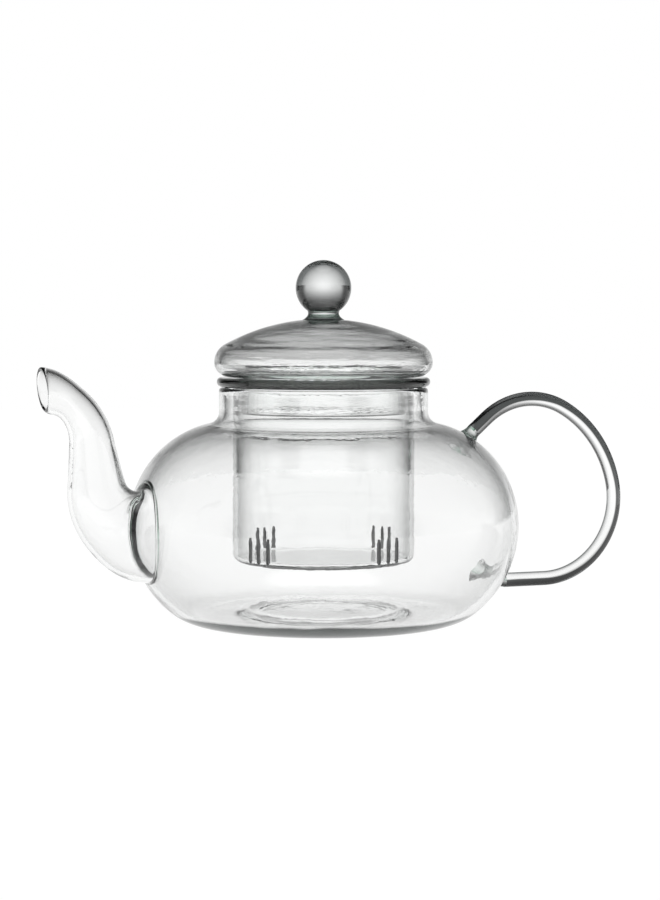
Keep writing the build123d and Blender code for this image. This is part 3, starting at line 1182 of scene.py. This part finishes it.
# ------------------------------------------------------------------ infuser
@dataclass
class Infuser:
    """A tube with a closed bottom and sawn slits, and the flange it hangs by."""

    wall: float = 1.5
    corner_radius: float = 2.6
    flange_rounding: float = 1.4
    slit_groups: int = 4
    slits_per_group: int = 3
    slit_step: float = 8.0
    slit_turn: float = 24.0
    slit_width: float = 0.7
    slit_low: float = 1.2
    slit_height: float = 8.4
    slit_tip: float = 0.12
    slit_point: float = 2.2
    ground: float = 1.4

    def __post_init__(self) -> None:
        """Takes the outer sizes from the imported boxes."""
        low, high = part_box("infuser_tube")
        self.radius, self.bottom, self.top = high.y / MM, low.z / MM, high.z / MM
        low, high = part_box("infuser_flange")
        self.flange_radius = high.y / MM
        self.flange_low, self.flange_high = low.z / MM, high.z / MM

    def wall_rows(self, inset: float) -> tuple[np.ndarray, int, int]:
        """The tube's profile, with rows at the slits' ends.

        Args:
            inset: 0 for the outside, the wall for the inside.

        Returns:
            (profile, first slit row, last slit row).
        """
        radius, corner = self.radius - inset, self.corner_radius - inset
        straight = self.bottom + self.corner_radius
        slit_top = self.bottom + self.slit_low + self.slit_height
        share = math.degrees(math.asin(1 - self.slit_low / self.corner_radius))
        centre = (self.radius - self.corner_radius, straight)
        runs = [
            line((0, self.bottom + inset), (centre[0], self.bottom + inset), 26),
            arc(centre, corner, -90, -share, 9),
            arc(centre, corner, -share, 0, 5),
            line((radius, straight), (radius, slit_top), 15),
            line((radius, slit_top), (radius, self.top), 40),
        ]
        counts = np.cumsum([len(run) - 1 for run in runs])
        return chain(*runs), int(counts[1]), int(counts[3])

    def slit_edges(self) -> np.ndarray:
        """Each slit's middle angle, in radians."""
        group = np.arange(self.slit_groups) * 2 * np.pi / self.slit_groups
        step = np.arange(self.slits_per_group) - (self.slits_per_group - 1) / 2
        turn = math.radians(self.slit_turn) + step * math.radians(self.slit_step)
        return np.sort((group[:, None] + turn).ravel() % (2 * np.pi))

    def build_tube(self, finish: GlassFinish) -> bpy.types.Object:
        """Makes the tube.

        Outer and inner skins are grids of (profile row, angle), four columns of which follow
        each slit and its ground edges and draw together at its tip.  Cells inside a slit are
        left out, and a wall joins the skins wherever a kept cell lies beside a missing one.

        Args:
            finish: the glass.

        Returns:
            The new object.
        """
        outer, first, last = self.wall_rows(0.0)
        inner, _, _ = self.wall_rows(self.wall)
        middles = self.slit_edges()
        ends = np.append(middles[1:], middles[0] + 2 * np.pi)
        half = self.slit_width / 2 / self.radius
        columns, sides, slit_cells = [], [], []
        edges = np.array([-self.ground, -1.0, 1.0, self.ground])
        clear = 1.5 * self.ground * half
        for middle, end in zip(middles, ends):
            count = max(2, round((end - middle) / math.radians(2.0)))
            fill = np.linspace(middle + clear, end - clear, count)
            slit_cells.append(sum(len(c) for c in columns) + 1)
            columns += [np.full(len(edges), middle), fill]
            sides += [edges, np.zeros(count)]
        columns, sides = np.concatenate(columns), np.concatenate(sides)
        height = outer[:, 1:]
        below_tip = (self.bottom + self.slit_low + self.slit_height - height) / self.slit_point
        width = half * (self.slit_tip + (1 - self.slit_tip) * np.clip(below_tip, 0, 1))
        angle = columns + sides * width
        skins = [about_axis(side[:, :1], angle, side[:, 1:]) for side in (outer, inner)]
        rows, around = angle.shape
        kept = np.ones((rows - 1, around), bool)
        kept[first:last, np.array(slit_cells)] = False
        ground = np.zeros((rows - 1, around), bool)
        beside = np.concatenate([np.array(slit_cells) - 1, np.array(slit_cells) + 1]) % around
        ground[first:last, beside] = True
        cells = grid_faces(rows, around)[kept.ravel()]
        skin_kind = np.where(ground[kept], Face.SAWN.value, Face.SKIN.value)
        shift = rows * around
        number = np.arange(shift).reshape(rows, around)
        faces = [cells, cells[:, ::-1] + shift]
        before = np.roll(kept, 1, axis=1)
        for here, there in ((kept & ~before, False), (before & ~kept, True)):
            row, column = np.nonzero(here)
            low, high = number[row, column], number[row + 1, column]
            quad = np.stack([low, high, high + shift, low + shift], axis=1)
            faces.append(quad[:, ::-1] if there else quad)
        above, below = kept[1:], kept[:-1]
        for here, there in ((below & ~above, False), (above & ~below, True)):
            row, column = np.nonzero(here)
            left, right = number[row + 1, column], number[row + 1, (column + 1) % around]
            quad = np.stack([left, right, right + shift, left + shift], axis=1)
            faces.append(quad[:, ::-1] if there else quad)
        rim = number[-1]
        after = np.roll(rim, -1)
        faces.append(np.stack([rim, after, after + shift, rim + shift], axis=1))
        kinds = np.full(sum(len(f) for f in faces), Face.SAWN.value)
        kinds[: 2 * len(cells)] = np.concatenate([skin_kind, skin_kind])
        kinds[-around:] = Face.JOINT.value
        return put_mesh("glass_infuser_tube", np.vstack(skins), np.vstack(faces), kinds, finish, 35.0)

    def build_flange(self, finish: GlassFinish) -> bpy.types.Object:
        """Makes the flange: a flat ring with a rounded outer edge, melted to the tube's top.

        Args:
            finish: the glass.

        Returns:
            The new object.
        """
        bore, soft = self.radius - self.wall, 0.5
        low, high, out, r = self.flange_low, self.flange_high, self.flange_radius, self.flange_rounding
        runs = [
            line((bore, low), (self.radius, low), 3),
            line((self.radius, low), (out - r, low), 6),
            arc((out - r, low + r), r, -90, 0, 10),
            arc((out - r, high - r), r, 0, 90, 10),
            line((out - r, high), (bore + soft, high), 10),
            arc((bore + soft, high - soft), soft, 90, 180, 6),
            line((bore, high - soft), (bore, low), 5)[:-1],
        ]
        profile = chain(*runs)
        melted = np.arange(len(profile)) < 2
        return turned("glass_infuser_flange", profile, melted, finish, ring=True)


# ------------------------------------------------------------------ lid
@dataclass
class Lid:
    """A blown dome with a short collar below it and a ball knob on a stem."""

    crown_radius: float = 67.6
    shoulder_radius: float = 6.9
    tuck_radius: float = 4.6
    wall: float = 2.0
    collar_wall: float = 1.5
    stem_radius: float = 5.3
    stem_flare: float = 1.6
    stem_flare_power: float = 2.5
    stem_waist: float = 0.25
    ball_radius: float = 9.2

    def __post_init__(self) -> None:
        """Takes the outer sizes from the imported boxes."""
        low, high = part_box("lid_dome")
        self.radius, self.seat, self.top = high.y / MM, low.z / MM, high.z / MM
        low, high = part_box("lid_collar")
        self.collar_radius, self.collar_low = high.y / MM, low.z / MM
        self.bore = self.collar_radius - self.collar_wall
        self.ball_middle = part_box("knob_ball")[1].z / MM - self.ball_radius
        drop = math.sqrt(self.ball_radius**2 - self.stem_radius**2)
        self.ball_cut = self.ball_middle - drop
        self.foot = self.stem_radius + self.stem_flare

    def crown_height(self, radius: np.ndarray) -> np.ndarray:
        """The dome's outer height at a radius under the stem."""
        return self.top - self.crown_radius + np.sqrt(self.crown_radius**2 - radius**2)

    def arcs(self, inset: float) -> list[np.ndarray]:
        """The dome's crown, shoulder and tuck arcs, from the axis outwards, drawn in."""
        rim = self.seat + self.tuck_radius
        shoulder_x = self.radius - self.shoulder_radius
        tuck_x = self.radius - self.tuck_radius
        crown_z = rim - math.sqrt((self.crown_radius - self.shoulder_radius) ** 2 - shoulder_x**2)
        turn = math.degrees(math.atan2(rim - crown_z, shoulder_x))
        return [
            arc((0, crown_z), self.crown_radius - inset, 90, turn, 70),
            arc((shoulder_x, rim), self.shoulder_radius - inset, turn, 0, 22),
            arc((tuck_x, rim), self.tuck_radius - inset, 0, -90, 18),
        ]

    def build(self, finish: GlassFinish, knob: GlassFinish) -> list[bpy.types.Object]:
        """Makes the dome, the collar, the stem and the ball.

        Args:
            finish: the dome's and collar's glass.
            knob: the stem's and ball's glass.

        Returns:
            The four objects.
        """
        soft = self.wall / 2
        crown, shoulder, tuck = self.arcs(0.0)
        under = np.linspace(0, self.foot, 12)
        covered = np.column_stack([under, self.crown_height(under)])
        open_crown = crown[crown[:, 0] > self.foot + 0.2]
        inner = [run[::-1] for run in self.arcs(self.wall)][::-1]
        outside = chain(covered, open_crown, shoulder, tuck)
        seat_line = line((self.radius - self.tuck_radius, self.seat), (self.collar_radius, self.seat), 5)
        melt_line = line((self.collar_radius, self.seat), (self.bore, self.seat), 4)
        rest = [
            line((self.bore, self.seat), (self.bore, self.seat + self.wall - soft), 4),
            arc((self.bore + soft, self.seat + self.wall - soft), soft, 180, 90, 8),
            *inner,
        ]
        before = chain(outside, seat_line)
        profile = chain(before, melt_line, *rest)
        row = np.arange(len(profile))
        melted = (row < len(covered) - 1) | ((row >= len(before) - 1) & (row < len(before) + 2))
        dome = turned("glass_lid_dome", profile, melted, finish)
        lip = self.collar_wall / 2
        low = self.collar_low + lip
        loop = chain(
            line((self.bore, self.seat), (self.collar_radius, self.seat), 4),
            line((self.collar_radius, self.seat), (self.collar_radius, low), 16),
            arc((self.collar_radius - lip, low), lip, 0, -180, 14),
            line((self.bore, low), (self.bore, self.seat), 16)[:-1],
        )
        collar = turned("glass_lid_collar", loop, np.arange(len(loop)) < 3, finish, ring=True)
        rise = (self.ball_cut - self.top) / 2
        t = np.linspace(0, 1, 14)
        foot_z = float(self.crown_height(np.array(self.foot)))
        flare = self.stem_flare * (1 - t) ** self.stem_flare_power
        side = np.column_stack([self.stem_radius + flare, foot_z + (self.ball_cut - foot_z) * t])
        side[:, 0] -= self.stem_waist * rise * np.sin(np.pi * t)
        stem_profile = chain(covered, side, line((self.stem_radius, self.ball_cut), (0, self.ball_cut), 5))
        row = np.arange(len(stem_profile))
        ends = (row < len(covered) - 1) | (row >= len(covered) + len(side) - 2)
        stem = turned("glass_knob_stem", stem_profile, ends, knob, 96)
        start = math.degrees(math.asin((self.ball_cut - self.ball_middle) / self.ball_radius))
        ball_profile = chain(
            line((0, self.ball_cut), (self.stem_radius, self.ball_cut), 5),
            arc((0, self.ball_middle), self.ball_radius, start, 90, 90),
        )
        ball_profile[-1, 0] = 0
        ball = turned("glass_knob_ball", ball_profile, np.arange(len(ball_profile)) < 4, knob, 160)
        return [dome, collar, stem, ball]


# ------------------------------------------------------------------ studio
@dataclass
class Studio:
    """A white table and backdrop, soft light with grey flags, and the camera."""

    azimuth: float = -21.0
    distance: float = 0.793
    camera_height: float = 0.1082
    tilt: float = 3.697
    aside: float = 0.155
    lens: float = 95.96
    window_half: float = 25.0
    flag_half: float = 37.0
    flag_light: float = 0.12
    glow_below: float = 0.12
    glow_height: float = 0.27
    glow_power: float = 2.6
    top_from: float = 0.90
    top_to: float = 0.97
    top_light: float = 1.3
    table_radius: float = 1.5
    table_drop: float = 0.00015
    floor_glow: float = 1.0

    def light(self) -> None:
        """Makes the surrounding light.

        Seen through the glass the backdrop is white near the level of the table, with a paler
        flag at every quarter turn, the room above is dark, and overhead is a soft box.
        """
        world = bpy.data.worlds.new("soft_studio")
        bpy.context.scene.world = world
        world.use_nodes = True
        tree = Tree(world.node_tree)
        x, y, z = tree.parts(tree.node("ShaderNodeTexCoord").outputs["Generated"])
        turn = tree.math("ARCTAN2", x, y) * (180 / math.pi) + self.azimuth
        quarter = tree.math("PINGPONG", turn + 720.0, 45.0)
        flag = tree.smooth_step(quarter, self.window_half, self.flag_half)
        side = 1.0 - (1.0 - self.flag_light) * flag
        rise = tree.math("MAXIMUM", z + self.glow_below, 0.0) / self.glow_height
        top = tree.smooth_step(z, self.top_from, self.top_to)
        level = side / (1.0 + rise**self.glow_power) + top * self.top_light
        seen = Num(tree, tree.node("ShaderNodeLightPath").outputs["Is Camera Ray"])
        strength = level * (1.0 - seen) + seen
        glow = tree.node("ShaderNodeBackground", Color=(1, 1, 1, 1), Strength=strength)
        out = tree.node("ShaderNodeOutputWorld")
        tree.feed(out.inputs["Surface"], glow.outputs[0])

    def floor(self) -> None:
        """Makes the white table: a disc that meets the backdrop without a line."""
        angle = np.linspace(0, 2 * np.pi, 96, endpoint=False)
        ring = np.array([0.0, self.table_radius / 4, self.table_radius])[:, None]
        points = about_axis(ring, angle, 0 * ring - self.table_drop)
        mesh = bpy.data.meshes.new("table")
        mesh.from_pydata(points.tolist(), [], grid_faces(3, 96).tolist())
        mesh.validate()
        mesh.flip_normals()
        floor = bpy.data.objects.new("table", mesh)
        bpy.context.scene.collection.objects.link(floor)
        made, tree = new_material("white_table")
        place = tree.node("ShaderNodeTexCoord").outputs["Object"]
        grain = tree.noise(place, 900.0, 3.0)
        colour = tree.blend_colours(grain, (0.05, 0.05, 0.05, 1), (0.07, 0.07, 0.07, 1))
        skin = tree.node(
            "ShaderNodeBsdfPrincipled",
            Base_Color=colour,
            Roughness=0.85,
            Specular_IOR_Level=0.0,
            Emission_Color=(1, 1, 1, 1),
            Emission_Strength=self.floor_glow,
        )
        out = tree.node("ShaderNodeOutputMaterial")
        tree.feed(out.inputs["Surface"], skin.outputs[0])
        mesh.materials.append(made)

    def camera(self) -> None:
        """Places the camera: level distance and height, then a small turn aside and down."""
        data = bpy.data.cameras.new("camera")
        data.lens = self.lens
        data.sensor_width = 36.0
        data.clip_start = 0.01
        camera = bpy.data.objects.new("camera", data)
        bpy.context.scene.collection.objects.link(camera)
        around = math.radians(self.azimuth)
        camera.location = (
            self.distance * math.sin(around),
            -self.distance * math.cos(around),
            self.camera_height,
        )
        camera.rotation_euler = (math.radians(90 - self.tilt), 0, around - math.radians(self.aside))
        bpy.context.scene.camera = camera

    def film(self) -> None:
        """Sets how light is followed through glass and how it is shown."""
        scene = bpy.context.scene
        scene.view_settings.view_transform = "Standard"
        scene.view_settings.look = "None"
        scene.cycles.max_bounces = 28
        scene.cycles.transmission_bounces = 26
        scene.cycles.transparent_max_bounces = 32
        scene.cycles.glossy_bounces = 10
        scene.cycles.diffuse_bounces = 2

    def build(self) -> None:
        """Sets up the whole studio."""
        self.light()
        self.floor()
        self.camera()
        self.film()


def main() -> None:
    """Builds the pot, the infuser, the lid and the studio in order."""
    logging.basicConfig(level=logging.INFO, format="%(name)s: %(message)s")
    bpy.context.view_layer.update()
    pot, infuser = PotBody(), Infuser()
    spout = Spout(pot.widest_height, pot.radius)
    rings = ("pot_base", "pot_lower_belly", "pot_upper_belly", "pot_neck")
    settle(pot.build(spout, BLOWN), "pot", *rings)
    made = {
        "pot": spout.build(pot, BLOWN) + Handle(pot).build(ROD, GOB),
        "infuser": [infuser.build_tube(TUBE), infuser.build_flange(FLANGE)],
        "lid": Lid().build(DOME, BALL),
    }
    for body, pieces in made.items():
        for piece in pieces:
            settle(piece, body, piece.name.removeprefix("glass_"))
    Studio().build()


if __name__ == "__main__":
    main()
